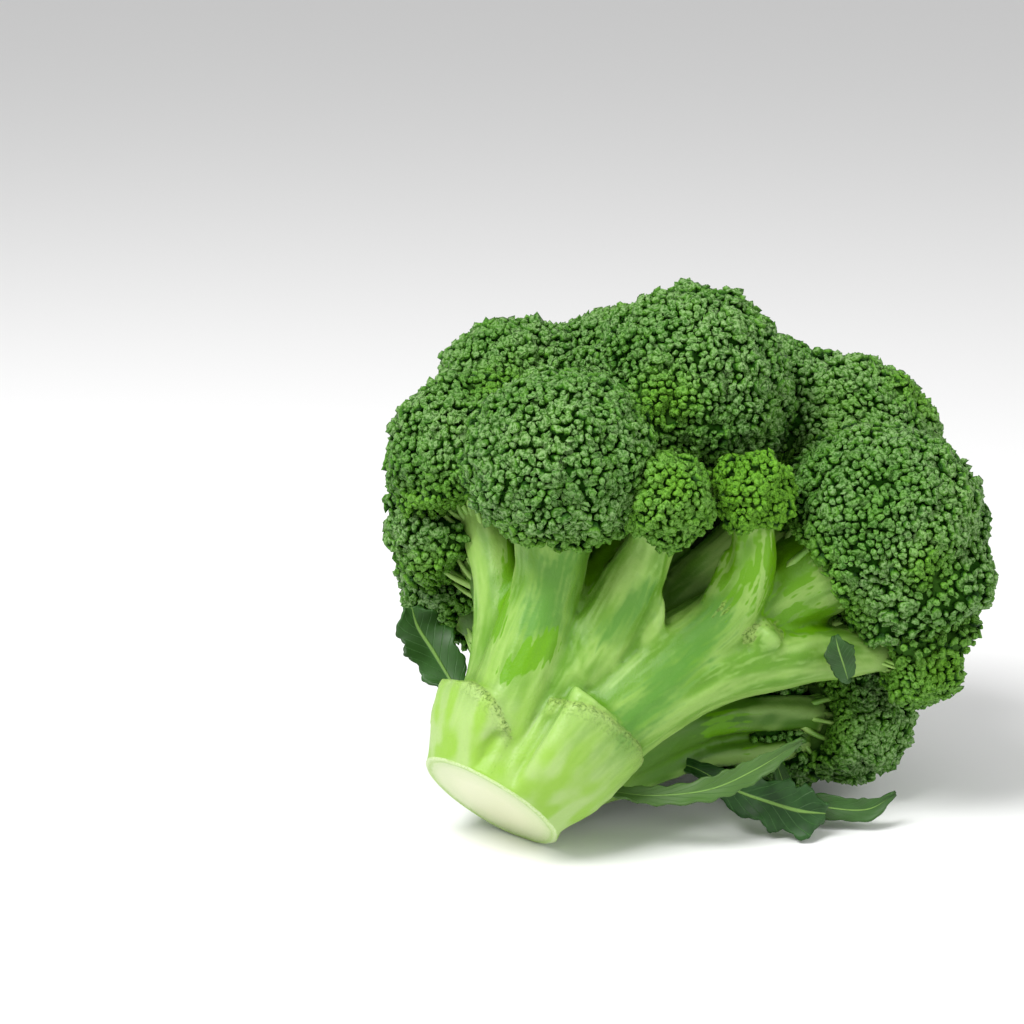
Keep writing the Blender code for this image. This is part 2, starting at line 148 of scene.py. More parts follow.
# name, centre, radius of the dome, and the branch as points with a radius
FLORET_ROWS = (
    ("front_left", (-29, -37.5, 69.5), 22.8,
     ((-7, -9, 14, 11), (-12, -15, 34, 9.5), (-17, -20, 50, 8.5))),
    ("left", (-49.5, -10, 68.5), 20,
     ((-9, -4, 12, 9.5), (-16, -6, 30, 7.5), (-26, -7, 46, 6.5), (-35, -6, 56, 6.5))),
    ("left_upper", (-47.5, 4, 93), 22.5,
     ((-10.5, 0, 20, 9), (-19.5, 1, 44, 7.5), (-31.5, 2, 68, 7.5))),
    ("left_back", (-42, 8, 59.5), 19.5,
     ((-5, 3, 16, 8.5), (-13, 5, 34, 6.5), (-26, 6, 48, 6))),
    ("left_low", (-32.5, 28, 55.5), 19.5,
     ((-3, 9, 12, 8.5), (-9, 17, 28, 6.5), (-19, 23, 42, 6))),
    ("back_low", (-7.5, 50, 59), 19.5,
     ((-2, 11, 12, 9), (-3.5, 25, 31.5, 7), (-5.5, 37, 45.5, 7))),
    ("under", (19, 47, 56), 18,
     ((5, 10, 10, 9), (10, 22, 26, 7), (15, 34, 41, 6.5))),
    ("under_right", (50, 23, 62), 19,
     ((10, 5, 10, 9), (23, 11, 29, 7.5), (36, 17, 46, 7))),
    ("right_low", (68, 14, 71.5), 18.5,
     ((10, 3, 12, 9.5), (22, 4.5, 28.5, 6.2), (35, 5.5, 47.5, 4.8), (52, 8, 62, 4.6))),
    ("right_rim", (70.5, -15, 83.5), 12.5,
     ((9.5, -8, 21.5, 12), (25.5, -14, 50.5, 10), (43, -15, 67, 8), (58.5, -15, 77.5, 5.5))),
    ("right", (46, -25, 103.5), 26.3,
     ((9, -8, 20, 12), (20, -14, 50, 11.5), (30, -15, 72, 10))),
    ("right_back", (59.5, 12, 102), 24,
     ((9, -2, 22.5, 10), (25, 2, 52, 8.5), (42, 7, 77, 8))),
    ("front_top", (-12, -22, 110.5), 25,
     ((0, -8, 22, 12), (-1, -11, 52, 11.5), (-5, -11, 82, 10))),
    ("top_right", (31, 3, 127), 26.5,
     ((4, -4, 25.5, 11), (12.5, -3, 58, 9.5), (21.5, 0, 89, 9))),
    ("top_left", (-23, 6, 108.5), 26.5,
     ((-4, -2, 25.5, 10), (-8.5, 0, 54.5, 8.5), (-15.5, 3, 81.5, 8))),
    ("apex", (3.5, 10, 121.5), 28,
     ((0, 0, 25.5, 12), (0.5, 3, 61, 10), (2, 7, 92.5, 9))),
    ("top_back", (17, 30, 114), 26.5,
     ((3, 4, 24, 10), (7.5, 13, 55, 8.5), (12.5, 22, 84.5, 8))),
    ("back_right", (35.5, 36, 99), 27.5,
     ((7, 6, 20, 10), (16.5, 16, 47.5, 8.5), (26.5, 26, 73, 8.5))),
    ("back", (0.5, 44, 93.5), 27,
     ((0, 8, 20, 10), (0.5, 20, 45.5, 8.5), (0.5, 32, 69, 8))),
    ("back_left", (-31.5, 28, 93), 27,
     ((-6, 5, 19.5, 10), (-13, 11, 45, 8.5), (-22.5, 19, 70, 8))),
    ("small_left", (-4, -42, 73.5), 12.5,
     ((2, -12, 37, 10), (1, -21.5, 55.5, 8), (-0.5, -31.5, 65.5, 6))),
    ("small_right", (13.5, -39.5, 88), 10.8,
     ((19, -15, 49.5, 9), (24, -22, 65, 7.5), (22.5, -30, 76, 5.8))),
)
FLORETS = {
    "floret_" + name: {"at": centre, "r": radius, "branch": branch}
    for name, centre, radius, branch in FLORET_ROWS
}
# five short side stems, then two thin stems beside the lower right branch
STUBS = (
    ((5, -15, 30, 4.0), (0, -21.2, 38.5, 2.7), (-5.8, -21.0, 44.5, 0.8)),
    ((13, -19, 46, 4.0), (10.5, -24, 53, 2.2), (7.5, -25, 59.5, 0.8)),
    ((21, -23, 62, 4.0), (18, -28, 70, 2.2), (15.5, -30, 76, 1.0)),
    ((23, -19, 60, 5.5), (25, -25.5, 67, 5.0), (25.5, -27.5, 69.5, 3.8)),
    ((33, -17, 60, 4.5), (35, -24, 65, 3.8), (35.5, -25.5, 66.5, 2.8)),
    ((10, 3, 12, 8), (24.5, 7.5, 23.5, 4.4), (39, 9.5, 40, 3.0), (54, 11, 52, 3.0), (61, 12, 60, 2.4)),
    ((28, 10, 34, 5), (42, 12, 47, 3.2), (55, 14, 57, 3.0), (63, 14, 64, 2.4)),
)
LEAF_SCARS = (
    {"heading": 306, "half": 13.8, "top": 26.5, "sag": 2.0, "tilt": 0.5},
    {"heading": 221, "half": 11.5, "top": 18.5, "sag": 3.0, "tilt": -3.0},
    {"heading": 95, "half": 13.5, "top": 24.0, "sag": 3.0, "tilt": 0.0},
)
SCAR_LIFT = 1.7
SCAR_EDGE = 1.2
SCAR_RAG = 0.5
SCAR_RAG_DETAIL = 7
BUTT_TAPER = 0.06
BUTT_SLACK = 0.8
FOOT_RADIUS = 34
OUTSIDE = -99.0
CUT_RADIUS = 18.3
CUT_BLEND = 10.0
UNDERSIDE = 0.78
FLARE = 0.47
FLARE_RISE = 0.22
SLIM_FLARES = {
    "floret_left": 0.26, "floret_left_back": 0.30, "floret_right_rim": 0.30,
    "floret_right_low": 0.26,
}
STALK_STEPS = 40
ROUTE_STEPS = 14
STUB_STEPS = 8
STALK_VOXEL = 0.95
STALK_SMOOTHING = 5
FLUTE_DEPTH = 0.45
FLUTE_SIZE = 3.0
FLUTE_REACH = 6
FLUTE_STEP = 1.2
FLUTE_SHARE = 0.2
FLUTES_FROM = 16
FLUTES_FADE = 14
FLOW_BLEND = 2.5
HOLLOW_ROUNDS = 24


def plain_mesh(obj):
    """The mesh that an object's modifiers make, in place of the object, which is removed."""
    bpy.context.view_layer.update()
    graph = bpy.context.evaluated_depsgraph_get()
    mesh = bpy.data.meshes.new_from_object(obj.evaluated_get(graph))
    bpy.data.objects.remove(obj)
    return mesh


def linked(name, data):
    obj = bpy.data.objects.new(name, data)
    bpy.context.scene.collection.objects.link(obj)
    return obj


def smooth_route(points, count):
    """count rows along a smooth curve through points, with any further values, such as a radius."""
    knots = np.array(points, float)
    knots = np.vstack([2 * knots[0] - knots[1], knots, 2 * knots[-1] - knots[-2]])
    place = np.linspace(0, len(points) - 1, count)
    span = np.minimum(place.astype(int), len(points) - 2)
    t = (place - span)[:, None]
    a, b, c, d = (knots[span + k] for k in range(4))
    return 0.5 * (
        2 * b + (c - a) * t + (2 * a - 5 * b + 4 * c - d) * t**2 + (3 * b - a - 3 * c + d) * t**3
    )


def tube(route, sides=24):
    """A closed tube along a route of (x, y, z, radius) rows."""
    guide = bpy.data.curves.new("route", "CURVE")
    guide.dimensions = "3D"
    guide.bevel_depth = 1
    guide.bevel_resolution = max(0, sides // 4 - 1)
    guide.use_fill_caps = True
    spline = guide.splines.new("POLY")
    spline.points.add(len(route) - 1)
    for knot, (x, y, z, radius) in zip(spline.points, route):
        knot.co = (x, y, z, 1)
        knot.radius = radius
    mesh = plain_mesh(linked("route", guide))
    bpy.data.curves.remove(guide)
    return mesh


def neck(floret):
    """Where the branch ends and spreads, and the way that the floret grows from there."""
    last, centre = Vector(floret["branch"][-1][:3]), Vector(floret["at"])
    growth = (centre - last).normalized()
    return centre - growth * UNDERSIDE * floret["r"], growth


def leaf_butt(butt):
    """The foot of a trimmed leaf."""
    foot = bmesh.new()
    bmesh.ops.create_cone(
        foot, cap_ends=True, segments=48, radius1=0.62, radius2=1.0, depth=butt["top"] + 8,
        matrix=Matrix.Translation((0, 0, (butt["top"] - 8) / 2)),
    )
    place = (
        Matrix.Rotation(math.radians(butt["heading"]), 4, "Z")
        @ Matrix.Translation((butt["reach"], 0, 0))
        @ Matrix.Rotation(math.radians(butt["slope"]), 4, "Y")
        @ Matrix.Diagonal((butt["thick"], butt["wide"], 1, 1))
    )
    bmesh.ops.transform(foot, matrix=place, verts=foot.verts)
    bmesh.ops.recalc_face_normals(foot, faces=foot.faces)
    mesh = bpy.data.meshes.new("butt")
    foot.to_mesh(mesh)
    foot.free()
    return mesh


routes = [smooth_route([(0, 0, z, r) for z, r in STALK], STALK_STEPS)]
for name, floret in FLORETS.items():
    spread, growth = neck(floret)
    end = spread + growth * FLARE_RISE * floret["r"]
    width = SLIM_FLARES.get(name, FLARE) * floret["r"]
    steps = ROUTE_STEPS * len(floret["branch"])
    routes.append(smooth_route([*floret["branch"], (*end, width)], steps))
stub_routes = [smooth_route(stub, STUB_STEPS * len(stub)) for stub in STUBS]
bm = bmesh.new()
for route in routes + stub_routes:
    mesh = tube(route)
    bm.from_mesh(mesh)
    bpy.data.meshes.remove(mesh)
for butt in LEAF_BUTTS:
    mesh = leaf_butt(butt)
    bm.from_mesh(mesh)
    bpy.data.meshes.remove(mesh)
mesh = bpy.data.meshes.new("stalk shapes")
bm.to_mesh(mesh)
bm.free()
shapes = linked("stalk shapes", mesh)
fuse = shapes.modifiers.new("fuse", "REMESH")
fuse.mode = "VOXEL"
fuse.voxel_size = STALK_VOXEL
blend = shapes.modifiers.new("blend", "SMOOTH")
blend.factor = 0.5
blend.iterations = STALK_SMOOTHING
stalk_mesh = plain_mesh(shapes)


def gaps_to(route, points):
    """How far each point lies outside each ball along a route, less than nothing inside it."""
    centres, radii = route[:, :3], route[:, 3]
    squares = (points**2).sum(axis=1)[:, None] + (centres**2).sum(axis=1) - 2 * points @ centres.T
    return np.sqrt(np.maximum(squares, 0)) - radii


def flow_at(points):
    """The way that the stem grows at each point, running smoothly from one branch into the next."""
    total = np.zeros((len(points), 3))
    for route in routes:
        steps = np.gradient(route[:, :3], axis=0)
        steps /= np.linalg.norm(steps, axis=1)[:, None]
        total += np.exp(-np.clip(gaps_to(route, points), -6, 60) / FLOW_BLEND) @ steps
    return total / np.linalg.norm(total, axis=1)[:, None]


def set_vectors(mesh, name, values):
    attribute = mesh.attributes.new(name, "FLOAT_VECTOR", "POINT")
    attribute.data.foreach_set("vector", np.asarray(values, np.float32).ravel())


def set_values(mesh, name, values):
    attribute = mesh.attributes.new(name, "FLOAT", "POINT")
    attribute.data.foreach_set("value", np.asarray(values, np.float32).ravel())


def places_of(mesh):
    places = np.empty(3 * len(mesh.vertices), np.float32)
    mesh.vertices.foreach_get("co", places)
    return places.reshape(-1, 3).astype(float)


def hollows_of(mesh, points, normals):
    """How far each point lies in a hollow of the mesh, less than nothing on a ridge."""
    ends = np.empty(2 * len(mesh.edges), np.int32)
    mesh.edges.foreach_get("vertices", ends)
    first, second = ends.reshape(-1, 2).T
    both = np.concatenate([first, second])
    others = np.concatenate([second, first])
    count = np.bincount(both, minlength=len(points))
    smooth = points.copy()
    for _ in range(HOLLOW_ROUNDS):
        for axis in range(3):
            total = np.bincount(both, weights=smooth[others, axis], minlength=len(points))
            smooth[:, axis] = total / count
    return ((smooth - points) * normals).sum(axis=1)


def below_scars(points):
    """How far each point lies inside the outline of a leaf butt, and how far below its broken top."""
    heading = np.degrees(np.arctan2(points[:, 1], points[:, 0]))
    around = np.linalg.norm(points[:, :2], axis=1)
    inside = np.full(len(points), OUTSIDE)
    under_edge = np.full(len(points), OUTSIDE)
    for scar in LEAF_SCARS:
        aside = (heading - scar["heading"] + 540) % 360 - 180
        u = np.radians(aside) * around / scar["half"]
        ragged = [
            SCAR_RAG * noise.noise(Vector((value * SCAR_RAG_DETAIL, scar["heading"], 0)))
            for value in u
        ]
        top = scar["top"] - scar["sag"] * u**4 + scar["tilt"] * u + np.array(ragged)
        below = top - points[:, 2]
        beside = (1 - np.abs(u)) * scar["half"] - BUTT_TAPER * below
        near = around < FOOT_RADIUS
        inside = np.maximum(inside, np.where(near, np.minimum(below, beside), OUTSIDE))
        level = np.where(near & (beside > -BUTT_SLACK), below, OUTSIDE)
        under_edge = np.maximum(under_edge, level)
    return inside, under_edge


points = places_of(stalk_mesh)
flow = flow_at(points)
normals = np.array([vert.normal for vert in stalk_mesh.vertices])
flutes = np.zeros(len(points))
for step in range(-FLUTE_REACH, FLUTE_REACH + 1):
    sampled = (points + FLUTE_STEP * step * flow) / FLUTE_SIZE
    flutes += [FLUTE_SHARE * noise.noise(Vector(place)) for place in sampled]
flutes *= np.clip((points[:, 2] - FLUTES_FROM) / FLUTES_FADE, 0, 1)
points += normals * (FLUTE_DEPTH * flutes)[:, None]
inside = below_scars(points)[0]
rise = np.clip(inside / SCAR_EDGE + 0.5, 0, 1)
rise = rise * rise * (3 - 2 * rise) * np.clip(points[:, 2] / 14, 0.15, 1)
outward = points * (1, 1, 0)
outward /= np.linalg.norm(outward, axis=1)[:, None]
points += outward * (SCAR_LIFT * rise)[:, None]
roundness = np.clip(1 - points[:, 2] / CUT_BLEND, 0, 1) ** 2
around = np.linalg.norm(points[:, :2], axis=1)
points[:, :2] *= (1 + roundness * (CUT_RADIUS / np.maximum(around, 1) - 1))[:, None]
sunk = np.maximum(points @ np.array(down) - REST_DEPTH, 0)
points -= sunk[:, None] * np.array(down)
stalk_mesh.vertices.foreach_set("co", points.astype(np.float32).ravel())

# the knife cut, a ring of faces for each step inwards from its rounded skin edge
CUT_STEPS = (
    (0.6, -0.45), (1.1, -0.6), (1.6, -0.5), (2.2, -0.35), (3.0, -0.35), (4.5, -0.4),
    (6.5, -0.35), (9.0, -0.45), (12.0, -0.35), (15.0, -0.4),
)
CUT_LIFT = 0.62
bm = bmesh.new()
bm.from_mesh(stalk_mesh)
depth_layer = bm.verts.layers.float.new("cut_depth")
cut = bmesh.ops.bisect_plane(
    bm, geom=bm.verts[:] + bm.edges[:] + bm.faces[:], plane_co=(0, 0, CUT_LIFT),
    plane_no=(0, 0, -1), clear_outer=True, dist=1e-5,
)
rim = [item for item in cut["geom_cut"] if isinstance(item, bmesh.types.BMVert)]
rim.sort(key=lambda vert: math.atan2(vert.co.y, vert.co.x))
outer = rim
for step_in, rise in CUT_STEPS:
    inner = []
    for vert in rim:
        shrunk = 1 - step_in / math.hypot(vert.co.x, vert.co.y)
        new = bm.verts.new((vert.co.x * shrunk, vert.co.y * shrunk, rise + CUT_LIFT))
        new[depth_layer] = step_in
        inner.append(new)
    for k in range(len(rim)):
        face = bm.faces.new((outer[k], outer[k - 1], inner[k - 1], inner[k]))
        face.material_index = 1
    outer = inner
middle = bm.verts.new((0, 0, CUT_STEPS[-1][1] + CUT_LIFT))
middle[depth_layer] = CUT_STEPS[-1][0] + 2
for k in range(len(rim)):
    face = bm.faces.new((outer[k], outer[k - 1], middle))
    face.material_index = 1
bmesh.ops.recalc_face_normals(bm, faces=bm.faces)
bm.to_mesh(stalk_mesh)
bm.free()

points = places_of(stalk_mesh)
normals = np.array([vert.normal for vert in stalk_mesh.vertices])
# the hollow attribute also sets the painted shade in the skin's recesses and the painted highlight on
# its ridges
set_values(stalk_mesh, "hollow", hollows_of(stalk_mesh, points, normals))
set_vectors(stalk_mesh, "flow", flow_at(points))
set_vectors(stalk_mesh, "grown", points)
set_values(stalk_mesh, "broken", below_scars(points)[1])

# where the skin is rubbed to a bright green, where it is waxy, and the scars of small side stems
RUBBED_STROKES = (
    (((-26, -12, 53), (-23.5, -16, 43), (-20.5, -17.5, 33)), 3.0),
    (((-8.6, -23.8, 35), (-10.5, -23.2, 29.5)), 3.0), (((-10.5, -23.2, 29.5), (-13.4, -22, 23.5)), 2.5),
    (((-9, -18, 66), (-9, -19, 56)), 4.0), (((23, -25, 72), (22, -31, 80), (31, -26, 83)), 7.5),
    (((34, -20, 68), (42, -20, 78)), 5.0), (((16, -27, 70), (10, -26, 62)), 3.0),
    (((52, 2, 50), (40, 0, 46)), 5.0), (((-30, -8, 62), (-26, -9, 54)), 3.0),
)
WAX_STROKES = (
    (((-18, -29, 54), (-13, -25, 38)), 6.5),
    (((18, -21, 28), (20, -24, 42), (21.5, -26, 54), (22, -27, 62)), 5.0),
    (((4, -30, 56), (2, -24, 44)), 3.0),
)
STEM_SCARS = ((((25, -24, 70), (22, -25, 65)), 3.4), (((36, -22.5, 66.5), (31, -24, 63)), 2.6))


def nearness(points, strokes):
    """One on a stroke, a half at its radius and nothing at twice that."""
    best = np.zeros(len(points))
    for stroke, radius in strokes:
        for start, end in zip(stroke, stroke[1:]):
            start = np.array(start, float)
            way = np.array(end, float) - start
            along = np.clip((points - start) @ way / (way @ way), 0, 1)
            gap = np.linalg.norm(points - start - along[:, None] * way, axis=1)
            best = np.maximum(best, 1 - gap / (2 * radius))
    return best


set_values(stalk_mesh, "rubbed", nearness(points, RUBBED_STROKES))
set_values(stalk_mesh, "waxy", nearness(points, WAX_STROKES))
set_values(stalk_mesh, "scarred", nearness(points, STEM_SCARS))


def node_set(tree, kind, **settings):
    """A new node, with settings by attribute name and inputs by socket name or number."""
    node = tree.nodes.new(kind)
    inputs = settings.pop("inputs", {})
    for key, value in settings.items():
        setattr(node, key, value)
    for key, value in inputs.items():
        if isinstance(value, bpy.types.NodeSocket):
            tree.links.new(value, node.inputs[key])
        else:
            node.inputs[key].default_value = value
    return node


def ramp(tree, source, stops, interpolation="EASE"):
    """A ramp node on a value, from (position, colour or grey) stops."""
    node = node_set(tree, "ShaderNodeValToRGB", inputs={"Fac": source})
    node.color_ramp.interpolation = interpolation
    while len(node.color_ramp.elements) < len(stops):
        node.color_ramp.elements.new(0.5)
    for element, (position, colour) in zip(node.color_ramp.elements, stops):
        element.position = position
        element.color = (*colour, 1) if hasattr(colour, "__len__") else (colour, colour, colour, 1)
    return node.outputs["Color"]


def mix(tree, factor, a, b):
    """A blend of two colours, each a socket or three numbers."""
    first, second = ((*part, 1) if isinstance(part, tuple) else part for part in (a, b))
    return node_set(
        tree, "ShaderNodeMix", data_type="RGBA", inputs={0: factor, 6: first, 7: second}
    ).outputs[2]


def maths(tree, operation, a, b=0.5):
    return node_set(tree, "ShaderNodeMath", operation=operation, inputs={0: a, 1: b}).outputs[0]


def times(tree, a, b):
    return maths(tree, "MULTIPLY", a, b)


def noise_at(tree, vector, scale, detail=3.0, roughness=0.5):
    return node_set(
        tree, "ShaderNodeTexNoise",
        inputs={"Vector": vector, "Scale": scale, "Detail": detail, "Roughness": roughness},
    ).outputs["Fac"]


def attribute_of(tree, name, output="Vector"):
    return node_set(tree, "ShaderNodeAttribute", attribute_name=name).outputs[output]


def new_material(name, roughness, **settings):
    material = bpy.data.materials.new(name)
    material.use_nodes = True
    shader = material.node_tree.nodes["Principled BSDF"]
    shader.inputs["Roughness"].default_value = roughness
    for key, value in settings.items():
        shader.inputs[key.replace("_", " ")].default_value = value
    return material, material.node_tree, shader


def roughen(tree, shader, height, strength, distance):
    bump = node_set(
        tree, "ShaderNodeBump",
        inputs={"Height": height, "Strength": strength, "Distance": distance},
    )
    tree.links.new(bump.outputs[0], shader.inputs["Normal"])


def new_socket(tree, name, kind, into=True):
    return tree.interface.new_socket(name, in_out="INPUT" if into else "OUTPUT", socket_type=kind)


# streaks: noise averaged along the way that the stem grows
STREAK_SAMPLES = 13
STREAK_CONTRAST = 0.23
streaks = bpy.data.node_groups.new("streaks", "ShaderNodeTree")
new_socket(streaks, "Place", "NodeSocketVector")
new_socket(streaks, "Flow", "NodeSocketVector")
new_socket(streaks, "Scale", "NodeSocketFloat")
new_socket(streaks, "Step", "NodeSocketFloat")
new_socket(streaks, "Value", "NodeSocketFloat", into=False)
given = node_set(streaks, "NodeGroupInput").outputs
total = 0.0
for step in range(STREAK_SAMPLES):
    ahead = times(streaks, given["Step"], step - (STREAK_SAMPLES - 1) / 2)
    stride = node_set(streaks, "ShaderNodeCombineXYZ", inputs={0: ahead, 1: ahead, 2: ahead})
    moved = node_set(
        streaks, "ShaderNodeVectorMath", operation="MULTIPLY_ADD",
        inputs={0: given["Flow"], 1: stride.outputs[0], 2: given["Place"]},
    ).outputs[0]
    total = maths(streaks, "ADD", total, noise_at(streaks, moved, given["Scale"], 0.0))
total = maths(streaks, "SUBTRACT", total, STREAK_SAMPLES / 2)
spread = times(streaks, total, STREAK_CONTRAST)
out = node_set(streaks, "NodeGroupOutput")
streaks.links.new(maths(streaks, "ADD", spread, 0.5), out.inputs[0])


def streaks_at(tree, place, flow, scale, step):
    return node_set(
        tree, "ShaderNodeGroup", node_tree=streaks,
        inputs={"Place": place, "Flow": flow, "Scale": scale, "Step": step},
    ).outputs[0]


# skin colours: the shaded green is painted shade, and the deep green and the pale streak green also
# paint the shade in recesses and the highlights on ridges
PALE = (0.235, 0.40, 0.08)
FRESH = (0.10, 0.25, 0.014)
FOOT_PALE = (0.36, 0.50, 0.18)
PALE_STREAK_AND_HIGHLIGHT = (0.30, 0.48, 0.125)
DEEP = (0.075, 0.20, 0.008)
SHADED = (0.05, 0.145, 0.006)
RUBBED = (0.105, 0.285, 0.0)
WAXY = (0.07, 0.215, 0.022)
FOOT = (0.24, 0.43, 0.045)
BREAK = (0.07, 0.16, 0.015)
BREAK_PALE = (0.30, 0.42, 0.11)

skin, tree, shader = new_material("stalk skin", 0.42, Specular_IOR_Level=0.25)
shader.inputs["Subsurface Weight"].default_value = 0.08
shader.inputs["Subsurface Radius"].default_value = (0.6, 1.0, 0.3)
shader.inputs["Subsurface Scale"].default_value = 0.002
flow = attribute_of(tree, "flow")
grown = attribute_of(tree, "grown")
place = node_set(tree, "ShaderNodeSeparateXYZ", inputs={0: grown})
height = maths(tree, "DIVIDE", place.outputs["Z"], 100.0)
broad = streaks_at(tree, grown, flow, 0.22, 1.8)
fine = streaks_at(tree, grown, flow, 0.85, 0.55)
colour = mix(tree, ramp(tree, broad, ((0.30, 0.0), (0.75, 0.85))), PALE, FRESH)
upper = ramp(tree, height, ((0.3, 0.0), (0.5, 1.0)))
deep = times(tree, ramp(tree, broad, ((0.60, 0.0), (0.95, 0.5))), upper)
colour = mix(tree, deep, colour, DEEP)
colour = mix(tree, ramp(tree, fine, ((0.42, 0.0), (0.85, 0.45))), colour, PALE_STREAK_AND_HIGHLIGHT)
colour = mix(tree, ramp(tree, fine, ((0.12, 0.35), (0.45, 0.0))), colour, FRESH)
# painted shade: skin towards the back of the head (+Y) is painted the darker shaded green, as the shade
# that falls on the branches there
behind = maths(tree, "ADD", maths(tree, "DIVIDE", place.outputs["Y"], 60.0), 0.5)
shade_behind = ramp(tree, behind, ((0.38, 0.0), (0.52, 0.88)))
colour = mix(tree, shade_behind, colour, SHADED)
# painted shade and highlight: recesses of the skin are painted the deep green, and ridges are painted
# the pale streak green
hollow = attribute_of(tree, "hollow", "Fac")
colour = mix(tree, ramp(tree, hollow, ((0.0, 0.0), (0.9, 0.75))), colour, DEEP)
ridge = ramp(tree, times(tree, hollow, -1.0), ((0.55, 0.0), (1.3, 0.6)))
colour = mix(tree, ridge, colour, PALE_STREAK_AND_HIGHLIGHT)
foot = ramp(tree, height, ((0.06, 0.9), (0.30, 0.0)))
drift = times(tree, noise_at(tree, grown, 0.09), 0.5)
clouds = maths(tree, "ADD", times(tree, broad, 0.5), drift)
foot_colour = mix(tree, ramp(tree, clouds, ((0.40, 0.0), (0.62, 0.85))), FOOT, FOOT_PALE)
colour = mix(tree, foot, colour, foot_colour)
brushed = times(tree, maths(tree, "SUBTRACT", fine, 0.5), 0.8)
waxy = maths(tree, "ADD", attribute_of(tree, "waxy", "Fac"), brushed)
waxy = ramp(tree, waxy, ((0.27, 0.0), (0.95, 0.85)))
colour = mix(tree, waxy, colour, WAXY)
ragged = times(tree, maths(tree, "SUBTRACT", fine, 0.5), 0.7)
rubbed = maths(tree, "ADD", attribute_of(tree, "rubbed", "Fac"), ragged)
rubbed = ramp(tree, rubbed, ((0.44, 0.0), (0.56, 0.92)))
colour = mix(tree, rubbed, colour, RUBBED)
pits = noise_at(tree, grown, 1.5, 4.0, 0.75)
inside = attribute_of(tree, "broken", "Fac")
torn = ramp(
    tree, maths(tree, "DIVIDE", maths(tree, "ADD", inside, 0.8), 8.0),
    ((0.0, 0.0), (0.06, 1.0), (0.16, 0.8), (0.34, 0.25), (0.8, 0.0)),
)
scar = maths(tree, "ADD", attribute_of(tree, "scarred", "Fac"), ragged)
torn = maths(tree, "MAXIMUM", torn, ramp(tree, scar, ((0.42, 0.0), (0.6, 1.0))))
colour = mix(tree, times(tree, torn, 0.5), colour, BREAK_PALE)
pitted = times(tree, torn, ramp(tree, pits, ((0.50, 0.0), (0.64, 0.8))))
colour = mix(tree, pitted, colour, BREAK)
tree.links.new(colour, shader.inputs["Base Color"])
tree.links.new(ramp(tree, waxy, ((0.0, 0.40), (1.0, 0.55))), shader.inputs["Roughness"])
grain = noise_at(tree, grown, 1.6, 4.0, 0.6)
relief = maths(tree, "SUBTRACT", times(tree, grain, 0.3), times(tree, pitted, 1.3))
roughen(tree, shader, relief, 0.6, 0.0006)

# the cut shows a green skin line, a pale ring and the creamy pith inside
flesh, tree, shader = new_material("cut flesh", 0.38, Specular_IOR_Level=0.5)
shader.inputs["Subsurface Weight"].default_value = 0.2
shader.inputs["Subsurface Radius"].default_value = (1.0, 1.0, 0.6)
shader.inputs["Subsurface Scale"].default_value = 0.003
depth = attribute_of(tree, "cut_depth", "Fac")
grown = attribute_of(tree, "grown")
wander = times(tree, noise_at(tree, grown, 0.35, 2.0), 1.2)
depth = maths(tree, "DIVIDE", maths(tree, "ADD", depth, wander), 20.0)
rings = ramp(
    tree, depth,
    (
        (0.02, (0.34, 0.52, 0.12)), (0.05, (0.52, 0.64, 0.33)), (0.10, (0.38, 0.54, 0.17)),
        (0.15, (0.54, 0.64, 0.34)), (0.26, (0.62, 0.68, 0.42)), (0.6, (0.70, 0.72, 0.49)),
    ),
)
strands = noise_at(tree, grown, 3.0, 3.0, 0.6)
speckled = ramp(tree, strands, ((0.50, 0.0), (0.66, 1.0)))
specks = times(tree, speckled, ramp(tree, depth, ((0.05, 0.8), (0.22, 0.12))))
colour = mix(tree, specks, rings, (0.30, 0.46, 0.10))
tree.links.new(colour, shader.inputs["Base Color"])
roughen(tree, shader, strands, 0.4, 0.0004)

stalk_mesh.materials.append(skin)
stalk_mesh.materials.append(flesh)
stalk_mesh.transform(laid)
stalk_mesh.shade_smooth()
stalk = linked("cut_stalk", stalk_mesh)
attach(stalk, "root")
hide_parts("stalk")

# The florets, domes of closed flower buds packed side by side. Under each dome its branch splits
# into pale branchlets, which carry the buds. Domes press against each other along flat sides.
BUD_SPACING = 1.95
BUD_SCALE = 0.97
BUD_PROUD = 1.5
MOUNDS = ((14.0, 2.5), (6.5, 1.4))
SKIN_SINK = 0.35
CORE_SINK = 0.7
BLEND = 2.6
BLEND_LIMIT = 6.0
BLEND_FLOOR = 0.8
HALVINGS = 12
SMALL = 13
TRIM = {
    "floret_left_upper": 2.0, "floret_top_left": 1.5, "floret_right_low": 2.5, "floret_apex": 1.0,
}
FILLERS = ((60.3, -25, 95.9, 19.2),)
BUDS_FROM = math.radians(33)
WALL_DEPTH = 5.0
STEM_GAP = 0.5
OPEN_ANGLE = 40
OPEN_UNDERSIDES = {
    "floret_left": 62, "floret_left_back": 52, "floret_right_rim": 58, "floret_right_low": 46,
}
HOLLOW_FLOOR = 0.60
EVEN_CELL = 0.866
GOLDEN_ANGLE = math.pi * (3 - math.sqrt(5))
GAP = 0.2
BUD_JITTER = 0.16
BUD_TILT = 0.38
LUMP = 0.8
LUMP_SIZE = 4.2
PATCH_SIZE = 16
RAGGED_SIZE = 6.0
YOUNG_SPOTS = (
    (-47, -22, 84, 13), (-15.5, -41, 94, 10), (12, -49, 88, 9), (-4, -54, 74, 9), (74, -24, 84, 12),
    (38, -16, 148, 11), (20, -30, 128, 10), (60, -46, 92, 8), (0, 60, 110, 12), (40, 50, 115, 12),
    (-50, 30, 105, 12), (-30, -5, 130, 10), (60, 35, 90, 10),
)
